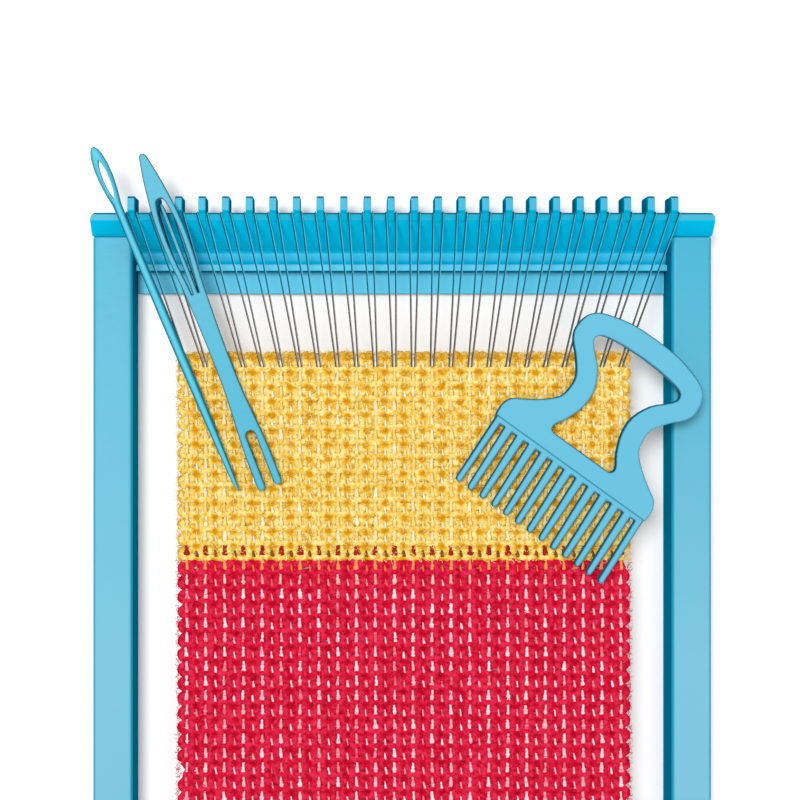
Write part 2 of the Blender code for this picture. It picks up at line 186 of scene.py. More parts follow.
class Nodes:
    """A short way to add and join shader nodes."""

    def __init__(self, name):
        self.material = bpy.data.materials.new(name)
        self.material.use_nodes = True
        self.tree = self.material.node_tree
        self.shader = self.tree.nodes["Principled BSDF"]

    def add(self, kind, **settings):
        node = self.tree.nodes.new(kind)
        for key, value in settings.items():
            setattr(node, key, value)
        return node

    def link(self, source, target):
        self.tree.links.new(source, target)

    def feed(self, node, sources):
        """Sets each numbered input, or links it where the source is another node's output."""
        for socket, source in sources:
            if isinstance(source, bpy.types.NodeSocket):
                self.link(source, node.inputs[socket])
            else:
                node.inputs[socket].default_value = source

    def value(self, socket, amount):
        self.shader.inputs[socket].default_value = amount

    def coordinates(self, scale=(1, 1, 1), turn=0.0):
        texture = self.add("ShaderNodeTexCoord")
        mapping = self.add("ShaderNodeMapping")
        mapping.inputs["Scale"].default_value = scale
        mapping.inputs["Rotation"].default_value = (0, 0, turn)
        self.link(texture.outputs["Object"], mapping.inputs["Vector"])
        return mapping.outputs["Vector"]

    def noise(self, vector, scale, detail=2.0, roughness=0.5):
        node = self.add("ShaderNodeTexNoise")
        node.inputs["Scale"].default_value = scale
        node.inputs["Detail"].default_value = detail
        node.inputs["Roughness"].default_value = roughness
        self.link(vector, node.inputs["Vector"])
        return node.outputs["Fac"]

    def ramp(self, fac, stops):
        node = self.add("ShaderNodeValToRGB")
        ends = node.color_ramp.elements
        while len(ends) < len(stops):
            ends.new(0.5)
        for end, (place, colour) in zip(ends, stops):
            end.position = place
            end.color = colour
        self.link(fac, node.inputs["Fac"])
        return node.outputs["Color"]

    def mix(self, fac, first, second, blend="MIX", guard=None):
        """The first where fac is 0 and the second where it is 1. A guard, if any, multiplies fac."""
        if guard is not None:
            fac = self.math("MULTIPLY", fac, guard)
        node = self.add("ShaderNodeMix", data_type="RGBA", blend_type=blend)
        self.feed(node, ((0, fac), (6, first), (7, second)))
        return node.outputs[2]

    def math(self, operation, first, second):
        node = self.add("ShaderNodeMath", operation=operation)
        self.feed(node, ((0, first), (1, second)))
        return node.outputs[0]

    def share(self, value, low, high):
        """0 where the value is low, and 1 where it is high."""
        return self.math("MULTIPLY", self.math("SUBTRACT", value, low), 1 / (high - low))

    def bump(self, height, strength, distance):
        node = self.add("ShaderNodeBump")
        node.inputs["Strength"].default_value = strength
        node.inputs["Distance"].default_value = distance
        self.link(height, node.inputs["Height"])
        return node.outputs["Normal"]

    def parts(self, vector):
        node = self.add("ShaderNodeSeparateXYZ")
        self.link(vector, node.inputs[0])
        return node.outputs

    def rounded(self, radius):
        """The parts of the surface's normal with its sharp edges softened."""
        node = self.add("ShaderNodeBevel", samples=5)
        node.inputs["Radius"].default_value = radius
        return self.parts(node.outputs["Normal"])


def plastic(name, level, slope, wall, stops=(0.1, 0.45, 0.955, 0.995), fade=0.0):
    """Moulded plastic, with painted light and shade: paler where it faces up, deeper on slopes, on walls and
    in corners.

    The stops are how far up a wall, two slopes and a level face look. fade pales the level faces
    away from the head beam.
    """
    n = Nodes(name)
    up = n.parts(n.add("ShaderNodeTexCoord").outputs["Normal"])["Z"]
    place = n.parts(n.add("ShaderNodeTexCoord").outputs["Object"])
    # painted shade: the colour deepens from level faces to slopes and walls, as light would fall on them
    colour = n.ramp(up, list(zip(stops, (wall, slope, slope, level))))
    top = n.ramp(up, [(stops[2], BLACK), (stops[3], WHITE)])
    if fade:
        down = n.add("ShaderNodeMapRange")
        down.inputs["From Min"].default_value = HEAD_EDGE_Y - 10 * MM
        down.inputs["From Max"].default_value = HEAD_EDGE_Y - 190 * MM
        n.link(place["Y"], down.inputs["Value"])
        colour = n.mix(n.math("MULTIPLY", down.outputs[0], fade), colour, srgb(160, 208, 228), guard=top)
    flow = n.noise(n.coordinates((1, 0.25, 1)), 38, 3)
    colour = n.mix(n.math("MULTIPLY", flow, 0.06), colour, slope)
    # painted shade in creases and corners, from ambient occlusion: slope colour on level faces beside a
    # crease, wall colour deep in corners
    painted_corner_shade = n.add("ShaderNodeAmbientOcclusion", samples=8)
    painted_corner_shade.inputs["Distance"].default_value = 1.6 * MM
    colour = n.mix(n.ramp(painted_corner_shade.outputs["AO"], [(0.55, WHITE), (0.85, BLACK)]), colour, slope, guard=top)
    colour = n.mix(n.ramp(painted_corner_shade.outputs["AO"], [(0.1, WHITE), (0.4, BLACK)]), colour, wall)
    n.link(colour, n.shader.inputs["Base Color"])
    grain = n.noise(n.coordinates(), 2600, 2)
    scuffs = n.noise(n.coordinates((1, 9, 1), 0.6), 160, 4, 0.7)
    rough = n.ramp(scuffs, [(0.35, (0.4, 0.4, 0.4, 1)), (0.8, (0.55, 0.55, 0.55, 1))])
    n.link(rough, n.shader.inputs["Roughness"])
    n.link(n.bump(grain, 0.08, 0.05 * MM), n.shader.inputs["Normal"])
    shine = n.ramp(up, [(stops[2], BLACK), (stops[3], (0.25, 0.25, 0.25, 1))])
    n.link(shine, n.shader.inputs["Specular IOR Level"])
    return n, colour, place


def beam_plastic(name, level, slope, wall):
    """Painted light and shade on the beams: darker on the outer edges, a deeper painted shade and less shine
    on the ridge and the fins, painted shade in the valley, and painted light on low level faces.
    """
    n, colour, place = plastic(name, level, slope, wall)
    normal = n.parts(n.add("ShaderNodeTexCoord").outputs["Normal"])
    # painted shade on the ridge between the pegs and on the fins: the slope's deeper colour, with less shine
    ridge = n.ramp(n.share(place["Z"], 15 * MM, 20 * MM), [
        (0.38, BLACK), (0.44, WHITE), (0.55, WHITE), (0.62, BLACK)
    ])
    row = PEG_PITCH * (PEG_COUNT - 1) / 2 + 2 * MM
    between = n.math("LESS_THAN", n.math("ABSOLUTE", place["X"], 0), row)
    painted_slope_shade = srgb(0, 170, 204)
    colour = n.mix(n.math("MULTIPLY", between, 0.65), colour, painted_slope_shade, guard=ridge)
    fin_height = n.share(place["Z"], 17 * MM, 19 * MM)
    fin = n.ramp(fin_height, [(0.22, BLACK), (0.3, WHITE), (0.5, WHITE), (0.7, BLACK)])
    colour = n.mix(fin, colour, painted_slope_shade)
    sheen = n.shader.inputs["Specular IOR Level"]
    matt = n.math("MAXIMUM", fin, n.math("MULTIPLY", ridge, between))
    n.link(n.mix(matt, sheen.links[0].from_socket, BLACK), sheen)
    # painted light: the low level faces of the rib and the ledge made brighter
    level_face = n.ramp(normal["Z"], [(0.97, BLACK), (0.995, WHITE)])
    low = n.ramp(n.share(place["Z"], 0, 10 * MM), [(0.76, WHITE), (0.82, BLACK)])
    colour = n.mix(level_face, colour, srgb(95, 211, 244), guard=low)
    # painted shade: the slope's colour on the valley floor
    valley_height = n.share(place["Z"], 4 * MM, 9 * MM)
    valley = n.ramp(valley_height, [(0.15, BLACK), (0.2, WHITE), (0.5, WHITE), (0.55, BLACK)])
    colour = n.mix(n.math("MULTIPLY", valley, 0.55), colour, slope)
    # painted shade on the faces turned outwards from the loom's middle
    outwards = n.math("MULTIPLY", normal["Y"], n.math("SIGN", place["Y"], 0))
    colour = n.mix(n.ramp(outwards, [(0.15, BLACK), (0.35, WHITE)]), colour, srgb(14, 112, 138))
    n.link(colour, n.shader.inputs["Base Color"])
    return n.material


def tool_plastic(name, level, slope, wall, stops, rim, line_ends=(0.965, 0.999)):
    """With a painted dark line of shade round every edge, deepest on the sides towards the head beam and the
    left.

    The line runs from full to none as the softened normal's upward part goes from one of
    line_ends to the other.
    """
    n, colour = plastic(name, level, slope, wall, stops)[:2]
    normal = n.rounded(rim)
    # painted shade along the edges: darkest on edges facing the head beam and the left, paler on the others
    facing = n.math("SUBTRACT", n.math("MULTIPLY", normal["Y"], 0.7), n.math("MULTIPLY", normal["X"], 0.4))
    line = n.ramp(n.math("ADD", facing, 0.4), [(0.1, srgb(84, 160, 186)), (0.5, srgb(20, 96, 118))])
    painted_edge_shade_mask = n.ramp(normal["Z"], [(line_ends[0], WHITE), (line_ends[1], BLACK)])
    colour = n.mix(painted_edge_shade_mask, colour, line)
    n.link(colour, n.shader.inputs["Base Color"])
    return n.material


def yarn(name, base, deep, pale):
    """Soft plied yarn. Its tone differs at random, and runs from a painted highlight on the shoulders to
    painted shade deep in the creases.
    """
    n = Nodes(name)
    tone = n.add("ShaderNodeAttribute", attribute_name="tone").outputs["Fac"]
    fibres = n.noise(n.coordinates((0.7, 1, 1), 0.7), 1500, 3, 0.75)
    clumps = n.noise(n.coordinates(), 480, 2)
    mottle = n.math("ADD", n.math("MULTIPLY", fibres, 0.35), n.math("MULTIPLY", clumps, 0.8))
    shade = n.math("ADD", n.math("MULTIPLY", n.math("SUBTRACT", mottle, 0.575), 1.7), tone)
    colour = n.ramp(shade, [(0.08, pale), (0.45, base), (0.9, deep)])
    n.link(colour, n.shader.inputs["Base Color"])
    n.value("Roughness", 0.95)
    n.value("Specular IOR Level", 0.1)
    ply = n.add("ShaderNodeTexWave", wave_type="BANDS", bands_direction="X")
    ply.inputs["Scale"].default_value = 160
    ply.inputs["Distortion"].default_value = 4.0
    n.link(n.coordinates(turn=0.7), ply.inputs["Vector"])
    height = n.math("ADD", n.math("MULTIPLY", mottle, 1.2), n.math("MULTIPLY", ply.outputs["Fac"], 0.35))
    n.link(n.bump(height, 0.9, 0.35 * MM), n.shader.inputs["Normal"])
    return n.material


def end_material():
    """Pale untwisted ends; their dye changes along the cloth."""
    n = Nodes("pale_end_skin")
    dye = n.add("ShaderNodeAttribute", attribute_name="dye").outputs["Color"]
    strands = n.noise(n.coordinates((1, 0.3, 1)), 2600, 3)
    dark = n.mix(0.25, dye, (0.5, 0.42, 0.36, 1), "MULTIPLY")
    worn = n.ramp(strands, [(0.35, WHITE), (0.6, BLACK)])
    n.link(n.mix(worn, dye, dark), n.shader.inputs["Base Color"])
    n.value("Roughness", 0.9)
    n.value("Specular IOR Level", 0.1)
    n.link(n.bump(strands, 0.5, 0.2 * MM), n.shader.inputs["Normal"])
    return n.material


def thread_material():
    """Twisted thread with a painted highlight along its right side, and painted blue light from the plastic
    where it lies over it.
    """
    n = Nodes("warp_cotton_skin")
    facing = n.parts(n.add("ShaderNodeTexCoord").outputs["Normal"])
    place = n.parts(n.add("ShaderNodeTexCoord").outputs["Object"])
    twist = n.noise(n.coordinates((1, 0.4, 1), 0.5), 2400, 2)
    dark = n.ramp(twist, [(0.3, srgb(66, 62, 62)), (0.7, srgb(112, 106, 104))])
    edge = HEAD_EDGE_Y - BEAM_DEPTH - 1.5 * MM
    # painted blue light reflected from the plastic where the thread lies over a beam
    over = n.math("GREATER_THAN", n.math("ABSOLUTE", place["Y"], 0), edge)
    dark = n.mix(over, dark, srgb(0, 92, 120))
    # painted highlight on the side of the thread that faces right
    side = n.ramp(facing["X"], [(0.2, BLACK), (0.45, WHITE)])
    pale = n.mix(over, srgb(196, 190, 188), srgb(110, 214, 236))
    n.link(n.mix(side, dark, pale), n.shader.inputs["Base Color"])
    n.value("Roughness", 0.6)
    n.value("Specular IOR Level", 0.1)
    n.link(n.bump(twist, 0.4, 0.1 * MM), n.shader.inputs["Normal"])
    return n.material


# ---------------------------------------------------------------- rigid pieces


def add_mesh(name, points, faces, material):
    mesh = bpy.data.meshes.new(name)
    mesh.from_pydata([tuple(p) for p in points], [], [tuple(f) for f in faces])
    mesh.materials.append(material)
    mesh.shade_smooth()
    made = bpy.data.objects.new(name, mesh)
    bpy.context.scene.collection.objects.link(made)
    return made


def arc(centre, radius, start, end, steps):
    """Points on a circle, with the angles in degrees."""
    angles = [math.radians(start + (end - start) * i / steps) for i in range(steps + 1)]
    return [(centre[0] + radius * math.cos(a), centre[1] + radius * math.sin(a)) for a in angles]


def bezier(p0, p1, p2, p3, steps):
    """Points on a cubic curve, both ends included."""
    points = []
    for i in range(steps + 1):
        t = i / steps
        weights = ((1 - t) ** 3, 3 * t * (1 - t) ** 2, 3 * t * t * (1 - t), t**3)
        points.append(tuple(sum(w * p[k] for w, p in zip(weights, (p0, p1, p2, p3))) for k in (0, 1)))
    return points


def prism(name, outline, low, high, axis="Z"):
    """A solid with this outline, from low to high along the axis. Along X the outline is (y, z)."""
    mesh = bpy.data.meshes.new(name)
    bm = bmesh.new()
    if axis == "Z":
        corners = [bm.verts.new((x, y, low)) for x, y in outline]
        move = Vector((0, 0, high - low))
    else:
        corners = [bm.verts.new((low, y, z)) for y, z in outline]
        move = Vector((high - low, 0, 0))
    face = bm.faces.new(corners)
    raised = bmesh.ops.extrude_face_region(bm, geom=[face])["geom"]
    bmesh.ops.translate(bm, verts=[v for v in raised if isinstance(v, bmesh.types.BMVert)], vec=move)
    bmesh.ops.recalc_face_normals(bm, faces=bm.faces)
    bm.to_mesh(mesh)
    bm.free()
    made = bpy.data.objects.new(name, mesh)
    bpy.context.scene.collection.objects.link(made)
    return made


def bake_modifiers(target):
    graph = bpy.context.evaluated_depsgraph_get()
    shape = bpy.data.meshes.new_from_object(target.evaluated_get(graph), depsgraph=graph)
    target.modifiers.clear()
    target.data = shape


def combine(target, tool, operation):
    """Changes the target by a Boolean with the tool, which is used up."""
    change = target.modifiers.new("combine", "BOOLEAN")
    change.operation = operation
    change.solver = "EXACT"
    change.object = tool
    bake_modifiers(target)
    bpy.data.objects.remove(tool)


def join(pieces):
    """One object holding the meshes of all these, which is the first of them."""
    bm = bmesh.new()
    for piece in pieces:
        bm.from_mesh(piece.data)
    bm.to_mesh(pieces[0].data)
    bm.free()
    for piece in pieces[1:]:
        bpy.data.objects.remove(piece)
    return pieces[0]


def smooth_skin(target, edge, angle=30):
    """Flat faces that stay flat in the shading, and edges rounded by this much, if any."""
    bm = bmesh.new()
    bm.from_mesh(target.data)
    bmesh.ops.remove_doubles(bm, verts=bm.verts, dist=0.001 * MM)
    limit = math.radians(0.4)
    bmesh.ops.dissolve_limit(bm, angle_limit=limit, verts=bm.verts, edges=bm.edges)
    bm.to_mesh(target.data)
    bm.free()
    if edge:
        change = target.modifiers.new("round", "BEVEL")
        change.width = edge
        change.segments = 3
        change.limit_method = "ANGLE"
        change.angle_limit = math.radians(angle)
        bake_modifiers(target)
    target.data.shade_smooth()
    target.data.set_sharp_from_angle(angle=math.radians(50))
    weights = target.modifiers.new("weights", "WEIGHTED_NORMAL")
    weights.weight = 100
    weights.keep_sharp = True
    bake_modifiers(target)


def crest(rise=0.0):
    """The ridge and the slope as (y, z): over a nearly flat crest, straight down, round into the valley."""
    line = [(0, 16.4), (-0.3, 16.9), (-0.9, 17.2), (-2.9, 17.4), (-3.5, 17.3), (-4, 16.95)]
    line += bezier((-12.6, 8.5), (-14, 7.1), (-14.6, 5.75), (-16, 5.4), 6)
    return [(y * MM, z * MM + rise) for y, z in line]


def beam_section():
    """The peg beam's skin as (y, z), from its outer foot over the ridge and the rib to the ledge."""
    rib_end = RIB_DEPTH + 2.9 * MM
    return [
        (0, 0),
        *crest(),
        (-RIB_DEPTH + 2.2 * MM, VALLEY_Z),
        (-RIB_DEPTH + 0.6 * MM, VALLEY_Z - 0.8 * MM),
        (-RIB_DEPTH, VALLEY_Z - 0.8 * MM),
        (-RIB_DEPTH - 0.2 * MM, RIB_Z),
        (-rib_end + 0.2 * MM, RIB_Z),
        (-rib_end, LEDGE_Z),
        (-BEAM_DEPTH, LEDGE_Z),
        (-BEAM_DEPTH, 0),
    ]


def beam_plan():
    """The peg beam from above: full depth between the rails, and a shallow cap over each end."""
    radius = 2.6 * MM
    right = [(HALF_FRAME - radius, 1 * MM)]
    right += arc((HALF_FRAME - radius, -radius), radius, 90, 0, 10)
    right += arc((HALF_FRAME - 0.8 * MM, 1.2 * MM - CAP_DEPTH), 1.2 * MM, 0, -90, 5)
    right += [(SHOULDER, -CAP_DEPTH), (SHOULDER, -BEAM_DEPTH - 1 * MM)]
    return right + [(-x, y) for x, y in reversed(right)]


def peg(x):
    """One peg, with the low fin that runs from it down the slope."""
    section = [
        (PEG_REACH, PEG_BOTTOM_Z),
        (PEG_REACH, PEG_TOP_Z - 1.3 * MM),
        (PEG_REACH - 0.35 * MM, PEG_TOP_Z - 0.5 * MM),
        (PEG_REACH - 1.2 * MM, PEG_TOP_Z),
        (0.7 * MM, PEG_TOP_Z),
        (0, PEG_TOP_Z - 0.9 * MM),
        *crest(0.35 * MM)[2:-2],
        (-15 * MM, 5.0 * MM),
        (-8 * MM, 11.2 * MM),
        (-3.9 * MM, 15 * MM),
        (-1.1 * MM, 14.6 * MM),
        (-1.1 * MM, PEG_BOTTOM_Z),
    ]
    made = prism("peg", section, x - PEG_WIDTH / 2, x + PEG_WIDTH / 2, axis="X")
    smooth_skin(made, 0.4 * MM, 40)
    return made


def beam_hollows():
    """The bays under the beam, with ribs between them, and the two sockets for the rails' tenons."""
    wall = 2.2 * MM
    section = [
        (-wall, -1 * MM),
        (-wall, 14.6 * MM),
        (-3.7 * MM, 15 * MM),
        (-7.4 * MM, 11.6 * MM),
        (-10.9 * MM, 8 * MM),
        (-14 * MM, 3.1 * MM),
        (-RIB_DEPTH - 0.8 * MM, 3.1 * MM),
        (-RIB_DEPTH - 0.8 * MM, -1 * MM),
    ]
    rib = 1.8 * MM
    reach = SHOULDER - rib
    bay = (2 * reach - (BAY_COUNT - 1) * rib) / BAY_COUNT
    hollows = []
    for i in range(BAY_COUNT):
        start = -reach + i * (bay + rib)
        hollows.append(prism("hollow", section, start, start + bay, axis="X"))
    for side in (-1, 1):
        low, high = sorted((side * (SHOULDER + wall), side * (HALF_FRAME - wall + RAIL_GAP)))
        socket = [(low, -CAP_DEPTH - 1 * MM), (high, -CAP_DEPTH - 1 * MM), (high, -wall), (low, -wall)]
        hollows.append(prism("hollow", socket, -1 * MM, 11.1 * MM))
    return join(hollows)


def declare(piece, node, body):
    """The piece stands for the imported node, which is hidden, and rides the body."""
    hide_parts(node)
    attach(piece, body)


def make_beams(skin):
    """Both beams are one moulding; the foot beam is turned round."""
    head = prism("head_beam_skin", beam_section(), -HALF_FRAME - 1 * MM, HALF_FRAME + 1 * MM, axis="X")
    combine(head, prism("plan", beam_plan(), -1 * MM, PEG_TOP_Z + 1 * MM), "INTERSECT")
    combine(head, beam_hollows(), "DIFFERENCE")
    smooth_skin(head, 0.3 * MM)
    pegs = [peg(peg_x(i)) for i in range(PEG_COUNT)]
    head = join([head, *pegs])
    head.data.materials.clear()
    head.data.materials.append(skin)
    foot = bpy.data.objects.new("foot_beam_skin", head.data.copy())
    bpy.context.scene.collection.objects.link(foot)
    head.data.transform(Matrix.Translation((0, HEAD_EDGE_Y, 0)))
    turn = Matrix.Rotation(math.pi, 4, "Z")
    foot.data.transform(Matrix.Translation((0, FOOT_EDGE_Y, 0)) @ turn)
    declare(head, "head_beam", "frame")
    declare(foot, "foot_beam", "frame")


def skin_of(node, body, material):
    """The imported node's own shape with its shading cleaned."""
    made = bpy.data.objects.new(node + "_skin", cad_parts[node].data.copy())
    bpy.context.scene.collection.objects.link(made)
    smooth_skin(made, 0)
    made.data.materials.clear()
    made.data.materials.append(material)
    declare(made, node, body)


def make_rigid():
    level = srgb(72, 179, 208)
    make_beams(beam_plastic("beam_plastic_skin", level, srgb(0, 197, 240), srgb(0, 112, 142)))
    rail_stops = (0.15, 0.55, 0.8, 0.975)
    rail_skin = plastic("rail_plastic_skin", level, srgb(36, 162, 194), srgb(0, 120, 152), rail_stops, 0.45)
    for node in ("left_rail", "right_rail"):
        skin_of(node, "frame", rail_skin[0].material)
    slope, wall = srgb(0, 118, 140), srgb(0, 88, 104)
    flat_stops = (0.1, 0.45, 0.9, 0.985)
    shuttle_skin = tool_plastic("shuttle_plastic_skin", srgb(80, 181, 208), slope, wall, flat_stops, 1.0 * MM)
    comb_skin = tool_plastic("comb_plastic_skin", srgb(102, 191, 220), slope, wall, flat_stops, 1.0 * MM)
    slope, round_stops = srgb(20, 130, 156), (0.1, 0.45, 0.7, 0.97)
    needle_skin = tool_plastic(
        "needle_plastic_skin", srgb(88, 197, 221), slope, wall, round_stops, 0.3 * MM, line_ends=(0.3, 0.62)
    )
    skin_of("yarn_needle", "needle", needle_skin)
    skin_of("netting_shuttle", "shuttle", shuttle_skin)
    skin_of("hand_comb", "comb", comb_skin)


# ---------------------------------------------------------------- weaving


def tube_mesh(paths, half_widths, half_heights, sides):
    """Closed oval tubes along these paths: their rings of points and their faces."""
    points, faces, base = [], [], 0
    angle = np.arange(sides) * 2 * np.pi / sides
    near = np.arange(sides)[None, :]
    far = (near + 1) % sides
    for path, half_width, half_height in zip(paths, half_widths, half_heights):
        path = np.asarray(path, dtype=float)
        count = len(path)
        along = np.gradient(path, axis=0)
        along /= np.linalg.norm(along, axis=1, keepdims=True)
        flat = np.stack([-along[:, 1], along[:, 0], np.zeros(count)], axis=1)
        length = np.linalg.norm(flat, axis=1, keepdims=True)
        # where the path stands nearly upright, its width runs along X
        flat = np.where(length > 0.2, flat / np.maximum(length, 1e-9), (1.0, 0.0, 0.0))
        up = np.cross(along, flat)
        width = np.broadcast_to(half_width, count)[:, None] * np.cos(angle)
        height = np.broadcast_to(half_height, count)[:, None] * np.sin(angle)
        rings = path[:, None, :] + width[:, :, None] * flat[:, None, :] + height[:, :, None] * up[:, None, :]
        step = base + np.arange(count - 1)[:, None] * sides
        quads = np.stack([step + near, step + far, step + sides + far, step + sides + near], axis=2)
        faces += quads.reshape(-1, 4).tolist()
        faces.append([base + i for i in range(sides - 1, -1, -1)])
        faces.append([base + (count - 1) * sides + i for i in range(sides)])
        points.append(rings.reshape(-1, 3))
        base += count * sides
    return np.concatenate(points), faces


def tubes(name, paths, half_widths, half_heights, sides, material, relief=None):
    """The tubes as one object, and their points. With a relief they are uneven and stay below the tools."""
    points, faces = tube_mesh(paths, half_widths, half_heights, sides)
    if relief is not None:
        points += relief * np.random.default_rng(len(points)).normal(0, 1, points.shape)
        points[:, 2] = np.minimum(points[:, 2], YARN_LIMIT_Z)
    return add_mesh(name, points, faces, material), points


def set_tone(made, tone):
    layer = made.data.attributes.new("tone", "FLOAT", "POINT")
    layer.data.foreach_set("value", tone.astype(np.float32))


def bell(distance, width):
    """1 at no distance, and falling away evenly on both sides."""
    return np.exp(-((distance / width) ** 2))


def step_down(distance, start, end):
    """1 up to start, 0 from end, and a smooth step between them."""
    t = np.clip((distance - start) / (end - start), 0, 1)
    return 1 - t * t * (3 - 2 * t)


def place_in_weave(points):
    """How far each point is from its nearest thread pair and middle line, and below its odd pick."""
    column = (points[:, 0] - COLUMN_SHIFT) / COLUMN_PITCH + (PEG_COUNT - 1) / 2
    from_pair = (column - np.round(column)) * COLUMN_PITCH
    from_middle = COLUMN_PITCH / 2 - np.abs(from_pair)
    picks = (FELL_Y - points[:, 1]) / PICK - 1.5
    below = (picks - 2 * np.round(picks / 2)) * PICK
    return from_pair, from_middle, below


def pick_line(k, rng):
    """One pick from left to right: its line, half width and half height."""
    offsets = np.array([-3.98, -3.5, -2.9, -2.1, -1.45, -0.9, -0.45, 0, 0.45, 0.9, 1.45, 2.1, 2.9, 3.5]) * MM
    x = np.concatenate([column_x(i) + offsets for i in range(PEG_COUNT)])
    from_pair = np.tile(offsets, PEG_COUNT)
    from_middle = COLUMN_PITCH / 2 - np.abs(from_pair)
    jitter = np.repeat(rng.normal(0, 1, (PEG_COUNT * 2, 3)), len(offsets) // 2, axis=0)
    loose = rng.normal(0, 1, (len(x), 2))
    at_middle = bell(from_middle, 0.9 * MM)
    y = np.full(len(x), pick_y(k))
    if k % 2:
        at_pair = bell(from_pair, 1.5 * MM)
        y = y + 0.4 * MM * at_middle
        z = WEAVE_Z - 0.5 * MM * at_pair - 0.25 * MM * at_middle
        width = YARN_HALF_WIDTH + 0.05 * MM + 0.25 * MM * at_pair - 0.25 * MM * at_middle
        height = np.full(len(x), YARN_HALF_HEIGHT)
    else:
        at_pair = step_down(np.abs(from_pair), 0.6 * MM, 1.7 * MM)
        y = y - 0.4 * MM * at_middle
        z = WEAVE_Z + 0.35 * MM * at_pair - 0.3 * MM * at_middle
        width = YARN_HALF_WIDTH - 0.7 * MM * at_pair - 0.25 * MM * at_middle
        height = YARN_HALF_HEIGHT - 0.25 * MM * at_pair
    if k == 0:  # drawn back and down at every thread pair
        y = y - 0.2 * MM + 0.17 * MM * jitter[:, 1] - 2.6 * MM * at_pair
        z = z - 1.6 * MM * at_pair
    if k < 2:
        z = z - 0.25 * MM
    if k == YELLOW_PICKS:  # the first red pick lies over the last yellow one
        y, z = y + 0.3 * MM, z + 0.2 * MM
    if k == YELLOW_PICKS - 1:
        z = z - 0.15 * MM
    y = y + (jitter[:, 0] * 0.10 + loose[:, 0] * 0.12) * MM
    z = z + (jitter[:, 1] * 0.06 + loose[:, 1] * 0.05) * MM
    width = width * (1 + 0.05 * jitter[:, 2] + 0.05 * loose[:, 1])
    return np.stack([x, y, z], axis=1), width, height


def weft(name, first, last, material, seed, depth):
    """A serpentine yarn: every pick, and at the edges the turns from each pick to the next.

    The depth is how much deeper the painted shade makes the tone in the creases.
    """
    rng = np.random.default_rng(seed)
    lines, widths, heights = [], [], []
    for k in range(first, last):
        line, width, height = pick_line(k, rng)
        keep = np.abs(line[:, 0] - COLUMN_SHIFT) < HALF_CLOTH - 2.9 * MM
        side = -1 if k % 2 else 1
        order = slice(None, None, side)
        lines.append(line[keep][order])
        widths.append(width[keep][order])
        heights.append(height[keep][order])
        if k < last - 1:
            angle = np.radians([62, 35, 0, -35, -62])
            reach = HALF_CLOTH - (2.75 + 0.25 * rng.random()) * MM
            x = COLUMN_SHIFT + side * (reach + np.cos(angle) * PICK * 0.42)
            y = pick_y(k + 0.5) + np.sin(angle) * PICK / 2
            lines.append(np.stack([x, y, np.full(len(angle), WEAVE_Z)], axis=1))
            widths.append(np.full(len(angle), 1.35 * MM))
            heights.append(np.full(len(angle), 0.9 * MM))
    path = np.concatenate(lines)
    made, points = tubes(
        name, [path], [np.concatenate(widths)], [np.concatenate(heights)], PICK_SIDES, material, 0.1 * MM
    )
    from_pair, from_middle, below = place_in_weave(points)
    lump = rng.normal(0, 1, len(path))
    # painted shade in the creases beside each middle line, and a painted highlight on the shoulders beside
    # each thread pair
    painted_crease_shade = bell(from_middle, 1.5 * MM) * bell(below + 1.75 * MM, 1.3 * MM)
    painted_shoulder_highlight = bell(np.abs(from_pair) - 1.9 * MM, 1.1 * MM)
    tone = 0.36 + depth * painted_crease_shade - 0.16 * painted_shoulder_highlight + 0.06 * np.repeat(lump, PICK_SIDES)
    tone += 0.1 * rng.normal(0, 1, len(points)) + 0.25 * (points[:, 1] > FELL_Y - PICK)
    set_tone(made, tone)
    return made


def pale_end(x, kind, rng):
    """One end that shows as a row of dashes: on a thread pair, or midway between two."""
    if kind == "pair":
        phases = np.array([-3.0, -2.5, -2.0, -1.5, -1.0, -0.5, 0, 0.5, 1.0, 1.5, 2.0, 2.5]) * MM
    else:
        phases = np.array([-3.0, -1.2, -0.1, 0.35, 1.0, 1.8, 2.5, 2.85]) * MM
    line, width, faint = [], [], []
    for k in range(1, YELLOW_PICKS + RED_PICKS, 2):
        shift = rng.normal(0, 0.12) * MM
        lean = rng.normal(0.03 if kind == "pair" else 0.15, 0.05)
        worn = k < YELLOW_PICKS
        size = 1 + 0.12 * worn + 0.2 * (k == YELLOW_PICKS - 2) + rng.normal(0, 0.1)
        fade = np.clip(rng.normal(0.4 + 0.25 * worn, 0.27), 0, 0.95)
        for phase in phases:
            if kind == "pair":
                shown = step_down(abs(phase + 0.05 * MM), 1.75 * MM, 2.7 * MM)
                if k == 1 and phase < 0:
                    shown = 0.75
                z = WEAVE_Z - 0.75 * MM + 1.45 * MM * shown
                half = (0.55 + 0.3 * step_down(-phase, -1.2 * MM, 1.2 * MM)) * MM
            else:
                shown = step_down(abs(phase - 1.35 * MM), 1.1 * MM, 1.9 * MM)
                z = WEAVE_Z - 0.9 * MM + 1.7 * MM * shown
                half = (0.36 + 0.14 * step_down(-phase, -1.9 * MM, -0.6 * MM)) * MM
            line.append((x + shift + lean * phase, pick_y(k) - phase, z))
            width.append(half * size * (1 + rng.normal(0, 0.17)))
            faint.append(fade + rng.normal(0, 0.1))
    return np.array(line), np.array(width), np.array(faint)


